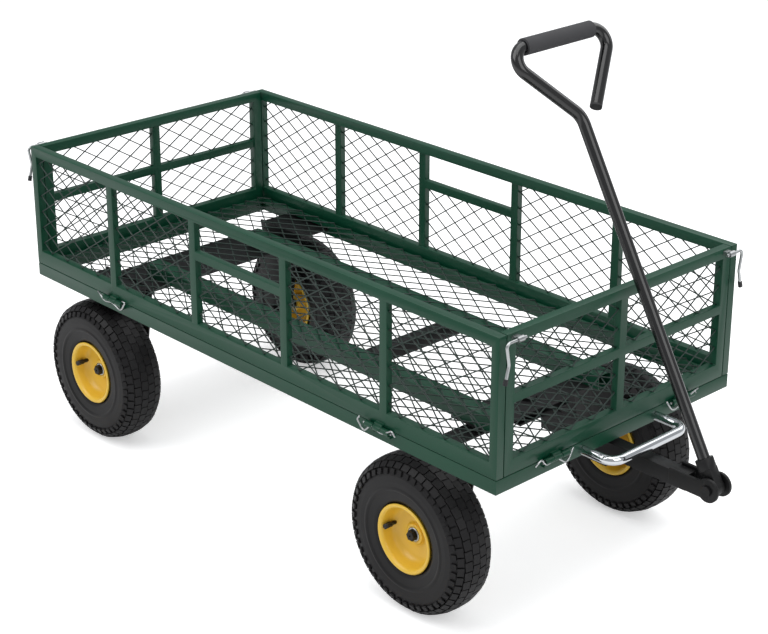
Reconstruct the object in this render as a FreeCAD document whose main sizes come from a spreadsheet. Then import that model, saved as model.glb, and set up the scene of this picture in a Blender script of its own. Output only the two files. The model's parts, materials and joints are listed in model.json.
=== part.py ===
import FreeCAD, Part
import Sketcher
import math
import os

# Tipping garden cart: a mesh-sided bed on a four-wheel wagon chassis.
# +X points to the pull handle, +Y to the cart's left, +Z up; the floor is Z = 0.
# The origin lies on the floor, midway between the rear latches and the drawbar's nose.

doc = FreeCAD.newDocument("TippingGardenCart")
Vec = FreeCAD.Vector
X_AXIS, Y_AXIS, Z_AXIS = Vec(1, 0, 0), Vec(0, 1, 0), Vec(0, 0, 1)

# ---------------------------------------------------------------- driving dimensions (mm)
DIMENSIONS = [
    # the bed
    ("TrayLength", 1170), ("TrayWidth", 540), ("TrayTop", 526), ("TrayBottom", 278),
    ("SkirtTop", 301), ("SkirtDepth", 15), ("FloorTop", 312), ("FloorStrip", 3), ("FloorGap", 6),
    # the four mesh panels
    ("PanelBottom", 302), ("BottomRail", 25), ("TopRail", 17), ("PanelDepth", 15),
    ("CornerPost", 15), ("EndPost", 18), ("PostWidth", 16), ("PostDepth", 12),
    ("MidRail", 15), ("SlotRailTop", 458), ("EndRailTop", 430), ("PanelGap", 1.5),
    # the diamond mesh
    ("CellLong", 48), ("CellShort", 31.5), ("MeshBar", 2.4), ("MeshThick", 2.4),
    # panel hinges
    ("HingeHeight", 300), ("HingeProud", 6), ("KnuckleRadius", 5), ("KnuckleLength", 17),
    ("PinRadius", 1.8), ("HingeSpread", 342), ("EndHingeSpread", 147), ("PanelLeaf", 8),
    # the chassis
    ("RailSpread", 118), ("RailHeight", 25), ("RailBreadth", 32), ("RailTop", 306), ("RailWall", 2),
    ("RailRear", -436), ("RailFront", 455), ("CrossBarPlace", 132), ("CrossBarHalf", 12.5),
    ("Plate", 4), ("RearPlateLength", 120), ("FrontPlateLength", 40), ("TurntableLength", 80),
    ("CarriageWidth", 350), ("HangerSpread", 170), ("HangerTop", 58), ("HangerFoot", 28),
    # the running gear
    ("WheelRadius", 130), ("TyreWidth", 80), ("WheelTrack", 476), ("RearAxlePlace", -432),
    ("FrontAxlePlace", 397), ("AxleRadius", 8), ("RimRadius", 56), ("BeadHalf", 29),
    ("HubRadius", 17), ("TurntableRadius", 39), ("StubInner", 156), ("StubOuter", 258),
    # the drawbar and the pull handle
    ("DrawbarSize", 25), ("DrawbarTop", 272), ("DrawbarEnd", 726), ("PivotPlace", 770),
    ("PivotHeight", 266), ("CheekPlate", 5), ("CheekRadius", 19), ("CheekTop", 277),
    ("HandleTube", 19), ("HandleWall", 2), ("HandleLean", 29.5), ("CollarTube", 28),
    ("ShaftLength", 578), ("GripReach", 698), ("LoopLeft", -117), ("LoopRight", 129),
    ("LoopEnd", 37), ("LoopBend", 22), ("ShaftBend", 34), ("GripRadius", 13),
    # the release bar and the corner latches
    ("ReleaseReach", 62), ("ReleaseHalf", 85), ("ReleaseHeight", 289), ("ReleaseRadius", 7.5),
    ("LatchStand", 12), ("LatchRadius", 2.4), ("LatchHeight", 520), ("LatchDrop", 58),
    ("LatchBarrel", 4.6),
]
# Everything is drawn about the bed's middle, and each finished sub-part is then set back by this much.
SETBACK = "(TrayLength / 2 + LatchStand + LatchBarrel - PivotPlace - CheekRadius) / 2"

sheet = doc.addObject("Spreadsheet::Sheet", "Dims")
for row, (alias, number) in enumerate(DIMENSIONS, start=1):
    sheet.set("A%d" % row, alias)
    sheet.set("B%d" % row, str(number))
    sheet.setAlias("B%d" % row, alias)
doc.recompute()


def dim(alias):
    return float(sheet.get(alias))


def linked(formula):
    """Turn a formula in plain dimension names into one that reads the sheet."""
    words = sorted((alias for alias, number in DIMENSIONS), key=len, reverse=True)
    text = str(formula)
    for word in words:
        text = text.replace(word, "<%d>" % words.index(word))
    for place, word in enumerate(words):
        text = text.replace("<%d>" % place, "Dims." + word)
    return text


def value(formula):
    """The number that a formula in dimension names stands for."""
    return float(sheet.evalExpression(linked(formula)))


# The sub-parts, in the order they are made: node name -> document object.
nodes = {}


def bind(obj, **formulas):
    for prop, formula in formulas.items():
        obj.setExpression(prop.replace("__", "."), linked(formula))


def place(obj, x=0, y=0, z=0):
    bind(obj, Placement__Base__x=x, Placement__Base__y=y, Placement__Base__z=z)


def box(name, x, y, z):
    """A bar from three (low, high) pairs of formulas."""
    bar = doc.addObject("Part::Box", name)
    bind(bar, Length="(%s) - (%s)" % (x[1], x[0]), Width="(%s) - (%s)" % (y[1], y[0]),
         Height="(%s) - (%s)" % (z[1], z[0]))
    place(bar, x[0], y[0], z[0])
    return bar


def rod(name, radius, length, start, axis=Z_AXIS):
    """A round bar that starts at three formulas and runs along an axis."""
    bar = doc.addObject("Part::Cylinder", name)
    bar.Placement = FreeCAD.Placement(Vec(0, 0, 0), FreeCAD.Rotation(Z_AXIS, axis))
    bind(bar, Radius=radius, Height=length)
    place(bar, *start)
    return bar


def fuse(name, pieces):
    joined = doc.addObject("Part::MultiFuse", name)
    joined.Shapes = pieces
    joined.Refine = True
    return joined


def cut(name, base, tool):
    rest = doc.addObject("Part::Cut", name)
    rest.Base = base
    rest.Tool = tool
    return rest


def both_sides(formula):
    """A formula and its mirror image."""
    return [(1, "(%s)" % formula), (-1, "-(%s)" % formula)]


def polygon_body(name, plane, outline, depth=None, turn=False):
    """A PartDesign body from a closed outline, padded both ways by depth or turned about Y."""
    body = doc.addObject("PartDesign::Body", name)
    sketch = body.newObject("Sketcher::SketchObject", name + "Sketch")
    origin_plane = [p for p in body.Origin.OriginFeatures if p.Role == plane][0]
    sketch.AttachmentSupport = [(origin_plane, "")]
    sketch.MapMode = "FlatFace"
    corners = [Vec(value(u), value(v), 0) for u, v in outline]
    count = len(corners)
    for i in range(count):
        sketch.addGeometry(Part.LineSegment(corners[i], corners[(i + 1) % count]), False)
    for i in range(count):
        sketch.addConstraint(_coincident(i, (i + 1) % count))
    for i, (u, v) in enumerate(outline):
        for kind, formula in (("DistanceX", u), ("DistanceY", v)):
            number = sketch.addConstraint(_from_origin(kind, i, value(formula)))
            sketch.setExpression("Constraints[%d]" % number, linked(formula))
    if turn:
        feature = body.newObject("PartDesign::Revolution", name + "Turned")
        feature.Profile = sketch
        feature.ReferenceAxis = (sketch, ["V_Axis"])
        feature.Angle = 360
    else:
        feature = body.newObject("PartDesign::Pad", name + "Pad")
        feature.Profile = sketch
        feature.Midplane = True
        feature.setExpression("Length", linked(depth))
    body.Tip = feature
    doc.recompute()
    return body


def _coincident(first, second):
    return Sketcher.Constraint("Coincident", first, 2, second, 1)


def _from_origin(kind, line, number):
    return Sketcher.Constraint(kind, -1, 1, line, 1, number)


def shape_node(name, shape):
    feature = doc.addObject("Part::Feature", name)
    feature.Shape = shape
    return feature


def node(name, obj):
    """Keep an object as the finished sub-part of this name; a later one takes its place."""
    nodes[name] = obj
    return obj


def set_back(name, obj):
    """Label a finished sub-part and move it back with the rest of the cart."""
    obj.Label = name
    bound = {path.lstrip("."): formula for path, formula in obj.ExpressionEngine}
    here = bound.get("Placement.Base.x", "%.6f" % obj.Placement.Base.x)
    obj.setExpression("Placement.Base.x", "(%s) + %s" % (here, linked(SETBACK)))


def bent_rod(points, bends, radius, bore=0.0):
    """A round rod or tube along straight runs joined by tangent arcs."""
    corners = [Vec(*p) for p in points]
    edges = []
    start = corners[0]
    for i in range(1, len(corners) - 1):
        back = (corners[i - 1] - corners[i]).normalize()
        ahead = (corners[i + 1] - corners[i]).normalize()
        half = back.getAngle(ahead) / 2
        run = bends[i - 1] / math.tan(half)
        first = corners[i] + back * run
        last = corners[i] + ahead * run
        middle_way = (back + ahead).normalize()
        centre = corners[i] + middle_way * (bends[i - 1] / math.sin(half))
        crown = centre - middle_way * bends[i - 1]
        edges.append(Part.LineSegment(start, first).toShape())
        edges.append(Part.Arc(first, crown, last).toShape())
        start = last
    edges.append(Part.LineSegment(start, corners[-1]).toShape())
    path = Part.Wire(edges)
    along = corners[1] - corners[0]
    solid = path.makePipeShell([Part.Wire(Part.makeCircle(radius, corners[0], along))], True, False)
    if bore:
        hollow = path.makePipeShell([Part.Wire(Part.makeCircle(bore, corners[0], along))], True, False)
        return Part.Solid(solid).cut(Part.Solid(hollow))
    return Part.Solid(solid)


# ---------------------------------------------------------------- diamond mesh
def lattice(width, height, phase_u=0.0, phase_v=0.0):
    """A flat diamond grille that fills a rectangle from (0, 0), as thick as the mesh, on z = 0."""
    long, short, bar = dim("CellLong"), dim("CellShort"), dim("MeshBar")
    slope = math.atan2(short, long)
    half_u = long / 2 - bar / 2 / math.sin(slope)
    half_v = short / 2 - bar / 2 / math.cos(slope)
    frame = Part.makePlane(width, height)
    window = Part.makePlane(width - 2 * bar, height - 2 * bar, Vec(bar, bar, 0))
    holes = []
    for i in range(-1, 2 * int(width / long) + 4):
        for j in range(-1, 2 * int(height / short) + 4):
            if (i + j) % 2:
                continue
            u = phase_u + i * long / 2
            v = phase_v + j * short / 2
            ring = [Vec(u - half_u, v, 0), Vec(u, v - half_v, 0), Vec(u + half_u, v, 0), Vec(u, v + half_v, 0)]
            diamond = Part.Face(Part.makePolygon(ring + ring[:1]))
            kept = diamond.common(window)
            if kept.Area > bar * bar:
                holes.append(kept)
    outline = frame.cut(Part.makeCompound(holes))
    return outline.Faces[0].extrude(Vec(0, 0, dim("MeshThick")))


def side_grille(x0, x1, z0, z1, side):
    """A grille in the plane of a side panel, between two posts."""
    grille = lattice(x1 - x0, z1 - z0)
    grille.rotate(Vec(0, 0, 0), X_AXIS, 90)
    depth = dim("TrayWidth") / 2 - dim("PostDepth") / 2
    grille.translate(Vec(x0, side * depth + dim("MeshThick") / 2, z0))
    return grille


def end_grille(y0, y1, z0, z1, end):
    """A grille in the plane of an end panel, between two posts."""
    grille = lattice(y1 - y0, z1 - z0)
    grille.rotate(Vec(0, 0, 0), X_AXIS, 90)
    grille.rotate(Vec(0, 0, 0), Z_AXIS, 90)
    depth = dim("TrayLength") / 2 - dim("PostDepth") / 2
    grille.translate(Vec(end * depth - dim("MeshThick") / 2, y0, z0))
    return grille


# ---------------------------------------------------------------- panels
def side_panel(side_name, side):
    """A long panel: rails, corner posts, four inner posts and the hand slot in the middle bay."""
    outer = "%d * TrayWidth / 2" % side
    deep = {"rail": "%d * (TrayWidth / 2 - PanelDepth)" % side,
            "post": "%d * (TrayWidth / 2 - PostDepth)" % side}
    across = {key: (inner, outer) if side > 0 else (outer, inner) for key, inner in deep.items()}
    low, high = "PanelBottom + BottomRail", "TrayTop - TopRail"
    tag = "Side%s" % side_name.title()
    bars = [
        box(tag + "Bottom", ("-TrayLength / 2", "TrayLength / 2"), across["rail"], ("PanelBottom", low)),
        box(tag + "Top", ("-TrayLength / 2", "TrayLength / 2"), across["rail"], (high, "TrayTop")),
    ]
    for end, place_x in ((-1, "-TrayLength / 2"), (1, "TrayLength / 2 - CornerPost")):
        x = (place_x, place_x + " + CornerPost")
        bars.append(box(tag + "Corner%d" % (end + 1), x, across["rail"], (low, high)))
    bay = (dim("TrayLength") - 2 * dim("CornerPost") - 4 * dim("PostWidth")) / 5
    starts = [-dim("TrayLength") / 2 + dim("CornerPost") + i * (bay + dim("PostWidth")) for i in range(5)]
    for i in range(4):
        first = starts[i] + bay
        x = "TrayLength * %f" % (first / dim("TrayLength"))
        bars.append(box(tag + "Post%d" % i, (x, x + " + PostWidth"), across["post"], (low, high)))
    slot = "TrayLength * %f" % (starts[2] / dim("TrayLength"))
    slot_end = "TrayLength * %f" % ((starts[2] + bay) / dim("TrayLength"))
    bars.append(box(tag + "SlotRail", (slot, slot_end), across["post"],
                    ("SlotRailTop - MidRail", "SlotRailTop")))
    node("panel_%s_frame" % side_name, fuse(tag + "Frame", bars))
    grilles = []
    for i, start in enumerate(starts):
        top = value("SlotRailTop - MidRail") if i == 2 else value(high)
        grilles.append(side_grille(start, start + bay, value(low), top, side))
    node("panel_%s_mesh" % side_name, shape_node(tag + "Mesh", Part.makeCompound(grilles)))


def end_panel(end_name, end):
    """A short panel between the side panels: rails, corner posts, centre post and two mid rails."""
    outer = "%d * TrayLength / 2" % end
    deep = {"rail": "%d * (TrayLength / 2 - PanelDepth)" % end,
            "post": "%d * (TrayLength / 2 - PostDepth)" % end}
    along = {key: (inner, outer) if end > 0 else (outer, inner) for key, inner in deep.items()}
    low, high = "PanelBottom + BottomRail", "TrayTop - TopRail"
    half = "(TrayWidth / 2 - PanelDepth - PanelGap)"
    tag = "End%s" % end_name.title()
    middle = ("EndRailTop - MidRail", "EndRailTop")
    bars = [
        box(tag + "Bottom", along["rail"], ("-" + half, half), ("PanelBottom", low)),
        box(tag + "Top", along["rail"], ("-" + half, half), (high, "TrayTop")),
        box(tag + "Right", along["rail"], ("-" + half, "-%s + EndPost" % half), (low, high)),
        box(tag + "Left", along["rail"], (half + " - EndPost", half), (low, high)),
        box(tag + "Centre", along["post"], ("-PostWidth / 2", "PostWidth / 2"), (low, high)),
        box(tag + "MidRight", along["post"], ("-%s + EndPost" % half, "-PostWidth / 2"), middle),
        box(tag + "MidLeft", along["post"], ("PostWidth / 2", half + " - EndPost"), middle),
    ]
    node("panel_%s_frame" % end_name, fuse(tag + "Frame", bars))
    grilles = []
    inner = value(half + " - EndPost")
    for y0, y1 in ((-inner, -value("PostWidth / 2")), (value("PostWidth / 2"), inner)):
        grilles.append(end_grille(y0, y1, value(low), value("EndRailTop - MidRail"), end))
        grilles.append(end_grille(y0, y1, value("EndRailTop"), value(high), end))
    node("panel_%s_mesh" % end_name, shape_node(tag + "Mesh", Part.makeCompound(grilles)))


# ---------------------------------------------------------------- bed
def bed():
    """The skirt ring with an upright strip inside it, the mesh floor on that strip, and the tipping arms."""
    half_x, half_y = "TrayLength / 2", "TrayWidth / 2"
    upright = ("TrayBottom", "SkirtTop")
    strip = ("SkirtTop - Plate", "FloorTop - MeshThick")
    shelf = ("SkirtTop - Plate", "SkirtTop")
    inner_x = "(TrayLength / 2 - SkirtDepth - FloorGap)"
    inner_y = "(TrayWidth / 2 - SkirtDepth - FloorGap)"
    bars = [
        box("SkirtRight", ("-" + half_x, half_x), ("-" + half_y, "-%s + SkirtDepth" % half_y), upright),
        box("SkirtLeft", ("-" + half_x, half_x), (half_y + " - SkirtDepth", half_y), upright),
        box("SkirtRear", ("-" + half_x, "-%s + SkirtDepth" % half_x), ("-" + half_y, half_y), upright),
        box("SkirtFront", (half_x + " - SkirtDepth", half_x), ("-" + half_y, half_y), upright),
    ]
    for side, edge in both_sides(inner_y):
        y = (edge + " - FloorStrip", edge) if side > 0 else (edge, edge + " + FloorStrip")
        bars.append(box("FloorEdge%d" % (side + 1), ("-" + inner_x, inner_x), y, strip))
        y = (edge + " - FloorStrip", half_y) if side > 0 else ("-" + half_y, edge + " + FloorStrip")
        bars.append(box("FloorShelf%d" % (side + 1), ("-" + inner_x, inner_x), y, shelf))
    for end, edge in both_sides(inner_x):
        x = (edge + " - FloorStrip", edge) if end > 0 else (edge, edge + " + FloorStrip")
        bars.append(box("FloorEnd%d" % (end + 1), x, ("-" + inner_y, inner_y), strip))
        x = (edge + " - FloorStrip", half_x) if end > 0 else ("-" + half_x, edge + " + FloorStrip")
        bars.append(box("FloorEndShelf%d" % (end + 1), x, ("-" + inner_y, inner_y), shelf))
    node("bed_frame", fuse("BedFrame", bars))

    length, width = value("2 * " + inner_x), value("2 * " + inner_y)
    floor = lattice(length, width)
    floor.translate(Vec(-length / 2, -width / 2, value("FloorTop - MeshThick")))
    node("bed_floor_mesh", shape_node("BedFloorMesh", floor))

    for side_name, side in (("left", 1), ("right", -1)):
        tag = side_name.title()
        arm_y = "%d * (HangerSpread + 14)" % side
        outline = [("RearAxlePlace - 20", "WheelRadius - 20"), ("RearAxlePlace + 20", "WheelRadius - 20"),
                   ("RearAxlePlace + 60", "SkirtTop - Plate"), ("RearAxlePlace - 60", "SkirtTop - Plate")]
        arm = polygon_body("PivotArm" + tag, "XZ_Plane", outline, "Plate")
        place(arm, 0, arm_y, 0)
        eye = rod("PivotEye" + tag, "AxleRadius + 0.3", "Plate * 3",
                  ("RearAxlePlace", arm_y + " + Plate * 1.5", "WheelRadius"), Vec(0, -1, 0))
        drilled = cut("PivotArmDrilled" + tag, arm, eye)
        root, tip = arm_y, "%d * (TrayWidth / 2 - SkirtDepth)" % side
        reach = (root, tip) if side > 0 else (tip, root)
        bracket = box("PivotBracket" + tag, ("RearAxlePlace - 60", "RearAxlePlace + 60"), reach,
                      ("SkirtTop - 3 * Plate", "SkirtTop - 2 * Plate"))
        node("bed_pivot_arm_" + side_name, fuse("PivotArmWelded" + tag, [drilled, bracket]))


def release_bar():
    """The chrome bar at the bed's front that frees the bed for tipping."""
    foot = dim("TrayLength") / 2
    out, half, z = foot + dim("ReleaseReach"), dim("ReleaseHalf"), dim("ReleaseHeight")
    points = [(foot, -half, z), (out, -half, z), (out, half, z), (foot, half, z)]
    node("release_bar", shape_node("ReleaseBar", bent_rod(points, [20, 20], dim("ReleaseRadius"))))


# ---------------------------------------------------------------- hinges and latches
def hinge_knuckles():
    """Three-knuckle hinges: the outer two are the bed's, the middle one is the panel's."""
    sides = []
    for end, place_x in both_sides("HingeSpread"):
        for side, edge in both_sides("TrayWidth / 2 + HingeProud"):
            sides.append((place_x, edge, X_AXIS, "left" if side > 0 else "right", end))
    ends = []
    for side, place_y in both_sides("EndHingeSpread"):
        for end, edge in both_sides("TrayLength / 2 + HingeProud"):
            ends.append((edge, place_y, Y_AXIS, "front" if end > 0 else "rear", side))
    return sides + ends


def hinges():
    bed_side, pins = [], []
    panel_side = {"left": [], "right": [], "front": [], "rear": []}
    length, radius = dim("KnuckleLength"), dim("KnuckleRadius")
    pin, z = dim("PinRadius"), dim("HingeHeight")
    for place_x, place_y, axis, panel, end in hinge_knuckles():
        centre = Vec(value(place_x), value(place_y), z)
        inward = Vec(0, -math.copysign(1, centre.y), 0)
        if axis == Y_AXIS:
            inward = Vec(-math.copysign(1, centre.x), 0, 0)
        for i in (-1, 0, 1):
            middle = centre + axis * (i * (length + 0.8))
            start = middle - axis * (length / 2)
            barrel = Part.makeCylinder(radius, length, start, axis)
            leaf_to = z - 9 if i else z + dim("PanelLeaf")
            reach = dim("HingeProud")
            low, high = min(z, leaf_to), max(z, leaf_to)
            across = inward * reach
            corners = [start, start + across, start + across + axis * length, start + axis * length, start]
            leaf = Part.Face(Part.makePolygon(corners))
            leaf.translate(Vec(0, 0, low - z))
            tab = leaf.extrude(Vec(0, 0, high - low))
            knuckle = barrel.fuse(tab).cut(Part.makeCylinder(pin + 0.25, length + 2, start - axis, axis))
            (panel_side[panel] if i == 0 else bed_side).append(knuckle.removeSplitter())
        run = 1.5 * length + 6
        pins.append(Part.makeCylinder(pin, 2 * run, centre - axis * run, axis))
    node("bed_hinge_knuckles", shape_node("BedHingeKnuckles", Part.makeCompound(bed_side)))
    node("hinge_pins", shape_node("HingePins", Part.makeCompound(pins)))
    for panel, knuckles in panel_side.items():
        frame = nodes["panel_%s_frame" % panel]
        tag = "Panel%sKnuckle" % panel.title()
        loose = [shape_node(tag + str(i), shape) for i, shape in enumerate(knuckles)]
        node("panel_%s_frame" % panel, fuse("Panel%sHinged" % panel.title(), [frame] + loose))


def latches():
    """A bent latch rod in its barrel at each end of each end panel, with a short rubber cap."""
    radius, stand, barrel_radius = dim("LatchRadius"), dim("LatchStand"), dim("LatchBarrel")
    z, drop, half = dim("LatchHeight"), dim("LatchDrop"), dim("TrayWidth") / 2
    for end_name, end in (("front", 1), ("rear", -1)):
        face = end * dim("TrayLength") / 2
        x = face + end * stand
        rods, caps, barrels = [], [], []
        for side in (1, -1):
            corner = Vec(x, side * (half - 2), z)
            knee = Vec(x, side * (half - 8), z - 34)
            foot = Vec(x, side * (half - 2), z - drop)
            inner = Vec(x, side * (half - 42), z)
            rods.append(bent_rod([tuple(p) for p in (inner, corner, knee, foot)], [7, 12], radius))
            down = (foot - knee).normalize()
            cap = Part.makeCylinder(radius + 1.2, 9, foot - down * 4, down)
            caps.append(cap.cut(Part.makeCylinder(radius, 4, foot - down * 4, down)))
            start = Vec(x, min(side * (half - 36), side * (half - 24)), z)
            barrel = Part.makeCylinder(barrel_radius, 12, start, Y_AXIS)
            tab = Part.makeBox(stand, 12, 5, Vec(min(x, face), start.y, z - 2.5))
            bore = Part.makeCylinder(radius + 0.3, 14, start - Y_AXIS, Y_AXIS)
            barrels.append(barrel.fuse(tab).cut(bore))
        tag = end_name.title()
        node("latch_barrels_" + end_name, shape_node("LatchBarrels" + tag, Part.makeCompound(barrels)))
        node("latch_rods_" + end_name, shape_node("LatchRods" + tag, Part.makeCompound(rods)))
        node("latch_caps_" + end_name, shape_node("LatchCaps" + tag, Part.makeCompound(caps)))


# ---------------------------------------------------------------- chassis
def hangers(name, centre_x, top):
    """Two tapering plates that hang from a carriage plate and hold the wheels' stub axles."""
    plates = []
    for side, y in both_sides("HangerSpread"):
        foot = "WheelRadius - 22"
        outline = [(centre_x + " - HangerFoot", foot), (centre_x + " + HangerFoot", foot),
                   (centre_x + " + HangerTop", top), (centre_x + " - HangerTop", top)]
        plate = polygon_body("%sHanger%d" % (name, side + 1), "XZ_Plane", outline, "Plate")
        place(plate, 0, y, 0)
        plates.append(plate)
    return plates


def stub_axles(label, centre_x):
    """The two short axles of one end of the cart, from just inside the hangers to the wheels' nuts."""
    tag = label.title().replace("_", "")
    stubs = []
    for number, start in enumerate(("StubOuter", "-StubInner")):
        stubs.append(rod("%sStub%d" % (tag, number), "AxleRadius", "StubOuter - StubInner",
                         (centre_x, start, "WheelRadius"), Vec(0, -1, 0)))
    node(label, fuse(tag, stubs))


def drilled_hangers(name, label, pieces, centre_x):
    """A welded carriage with its hangers bored for the stub axles."""
    welded = fuse(name + "Welded", pieces)
    bore = rod(name + "Bore", "AxleRadius", "CarriageWidth", (centre_x, "CarriageWidth / 2", "WheelRadius"),
               Vec(0, -1, 0))
    return node(label, cut(name, welded, bore))


def chassis():
    low = "RailTop - RailHeight"
    for side_name, side in (("left", 1), ("right", -1)):
        y = "%d * RailSpread" % side
        outside = box("Rail" + side_name, ("RailRear", "RailFront"),
                      (y + " - RailBreadth / 2", y + " + RailBreadth / 2"), (low, "RailTop"))
        inside = box("RailBore" + side_name, ("RailRear - 1", "RailFront + 1"),
                     (y + " - RailBreadth / 2 + RailWall", y + " + RailBreadth / 2 - RailWall"),
                     (low + " + RailWall", "RailTop - RailWall"))
        node("chassis_rail_" + side_name, cut("RailTube" + side_name, outside, inside))
    node("chassis_cross_bar", box("CrossBar", ("CrossBarPlace - CrossBarHalf", "CrossBarPlace + CrossBarHalf"),
                                  ("-RailSpread + RailBreadth / 2", "RailSpread - RailBreadth / 2"),
                                  (low, "RailTop - 2")))
    plate = box("RearPlate", ("RearAxlePlace - RearPlateLength / 2", "RearAxlePlace + RearPlateLength / 2"),
                ("-CarriageWidth / 2", "CarriageWidth / 2"), (low + " - Plate", low))
    pieces = [plate] + hangers("RearCarriage", "RearAxlePlace", low + " - Plate")
    drilled_hangers("RearCarriage", "rear_axle_carriage", pieces, "RearAxlePlace")
    stub_axles("rear_axle", "RearAxlePlace")


def front_bogie():
    """The cross plate on the rails, the turntable, and the steered carriage with its stub axles."""
    low = "RailTop - RailHeight"
    pin_hole = "AxleRadius + 0.3"
    middle = ("FrontAxlePlace - TurntableLength / 2", "FrontAxlePlace + TurntableLength / 2")
    plate = box("FrontPlate", middle, ("-RailSpread - RailBreadth / 2", "RailSpread + RailBreadth / 2"),
                (low + " - Plate", low))
    bore = rod("KingpinBore", "AxleRadius", "3 * Plate", ("FrontAxlePlace", 0, low + " - 2 * Plate"))
    node("front_cross_plate", cut("FrontCrossPlate", plate, bore))
    ring_low = low + " - 3 * Plate - 1"
    ring = rod("TurntableDisc", "TurntableRadius", "2 * Plate", ("FrontAxlePlace", 0, ring_low))
    ring_bore = rod("TurntableBore", pin_hole, "4 * Plate", ("FrontAxlePlace", 0, ring_low + " - Plate"))
    node("turntable_plate", cut("Turntable", ring, ring_bore))
    under = ring_low + " - Plate"
    arm = box("FrontArm", ("FrontAxlePlace - FrontPlateLength / 2", "FrontAxlePlace + FrontPlateLength / 2"),
              ("-CarriageWidth / 2", "CarriageWidth / 2"), (under, ring_low))
    table = box("FrontTable", middle, ("-TurntableLength * 0.75", "TurntableLength * 0.75"), (under, ring_low))
    pieces = [arm, table] + hangers("FrontCarriage", "FrontAxlePlace", under)
    solid = drilled_hangers("FrontCarriage", "front_axle_carriage", pieces, "FrontAxlePlace")
    hole = rod("FrontCarriageBore", pin_hole, "3 * Plate", ("FrontAxlePlace", 0, under + " - Plate"))
    node("front_axle_carriage", cut("FrontCarriageDrilled", solid, hole))
    stub_axles("front_axle", "FrontAxlePlace")
    pin = rod("KingpinShank", "AxleRadius", "7 * Plate", ("FrontAxlePlace", 0, low + " - 7 * Plate"))
    head = rod("KingpinHead", "AxleRadius * 1.8", "6", ("FrontAxlePlace", 0, low))
    nut = rod("KingpinNut", "AxleRadius * 1.7", "7", ("FrontAxlePlace", 0, under + " - 8"))
    node("kingpin", fuse("Kingpin", [pin, head, nut]))


def drawbar():
    """The square tube forward of the steered carriage, with two cheeks round the handle's foot."""
    half = "(DrawbarSize / 2)"
    low = "DrawbarTop - DrawbarSize"
    start = "FrontAxlePlace + TurntableLength / 2"
    outside = box("DrawbarOutside", (start, "DrawbarEnd"), ("-" + half, half), (low, "DrawbarTop"))
    inside = box("DrawbarInside", (start + " - 1", "DrawbarEnd + 1"),
                 ("-%s + RailWall" % half, half + " - RailWall"),
                 (low + " + RailWall", "DrawbarTop - RailWall"))
    node("drawbar", cut("Drawbar", outside, inside))


# ---------------------------------------------------------------- wheels
def wheel(name, end_x, side):
    """A pneumatic tyre on a dished steel rim with a plain hub, on one axle stub."""
    centre = ("%s" % end_x, "%d * WheelTrack / 2" % side, "WheelRadius")
    half = "TyreWidth / 2"
    tyre_outline = [("RimRadius - 4", "BeadHalf"), ("RimRadius + 6", "BeadHalf + 4"),
                    ("RimRadius + 22", half + " - 2"), ("RimRadius + 42", half),
                    ("WheelRadius - 14", half + " - 4"), ("WheelRadius - 4", half + " - 14"),
                    ("WheelRadius", half + " - 24")]
    mirrored = [(u, "-(%s)" % v) for u, v in reversed(tyre_outline)]
    inner = [("RimRadius - 4", "-BeadHalf + 12"), ("RimRadius + 16", "-BeadHalf"),
             ("WheelRadius - 16", "-BeadHalf"),
             ("WheelRadius - 9", "-12"), ("WheelRadius - 9", "12"), ("WheelRadius - 16", "BeadHalf"),
             ("RimRadius + 16", "BeadHalf"), ("RimRadius - 4", "BeadHalf - 12")]
    outline = tyre_outline + mirrored + inner
    tyre = polygon_body("Tyre" + name, "XY_Plane", outline, turn=True)
    place(tyre, *centre)
    node("tyre_" + name, tyre)
    rim_outline = [("RimRadius - 5", "BeadHalf - 12.3"), ("RimRadius - 4.3", "BeadHalf - 12.3"),
                   ("RimRadius - 4.3", "BeadHalf + 2"), ("RimRadius + 2", "BeadHalf + 5"),
                   ("RimRadius", "BeadHalf + 7"),
                   ("RimRadius - 7", "BeadHalf + 4"), ("RimRadius - 9", "14"), ("RimRadius - 18", "8"),
                   ("HubRadius", "6"), ("HubRadius", "2"), ("RimRadius - 18", "4"), ("RimRadius - 7", "-1"),
                   ("RimRadius - 7", "-BeadHalf - 4"), ("RimRadius", "-BeadHalf - 7"),
                   ("RimRadius + 2", "-BeadHalf - 5"),
                   ("RimRadius - 4.3", "-BeadHalf - 2"), ("RimRadius - 4.3", "-BeadHalf + 12.3"),
                   ("RimRadius - 5", "-BeadHalf + 12.3")]
    rim = polygon_body("Rim" + name, "XY_Plane", rim_outline, turn=True)
    if side < 0:
        rim.Placement = FreeCAD.Placement(Vec(0, 0, 0), FreeCAD.Rotation(X_AXIS, 180))
    place(rim, *centre)
    inner, outer = ("-27", "13") if side > 0 else ("-13", "27")
    hub_outline = [("AxleRadius + 0.3", inner), ("HubRadius", inner), ("HubRadius", outer),
                   ("AxleRadius + 0.3", outer)]
    hub = polygon_body("Hub" + name, "XY_Plane", hub_outline, turn=True)
    place(hub, *centre)
    node("rim_" + name, fuse("RimAndHub" + name, [rim, hub]))


# ---------------------------------------------------------------- pull handle
def handle_frame():
    """The handle's foot, its up-the-shaft direction and the way across it."""
    lean = math.radians(dim("HandleLean"))
    foot = Vec(dim("PivotPlace"), 0, dim("PivotHeight"))
    return foot, Vec(-math.sin(lean), 0, math.cos(lean)), Y_AXIS


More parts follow.
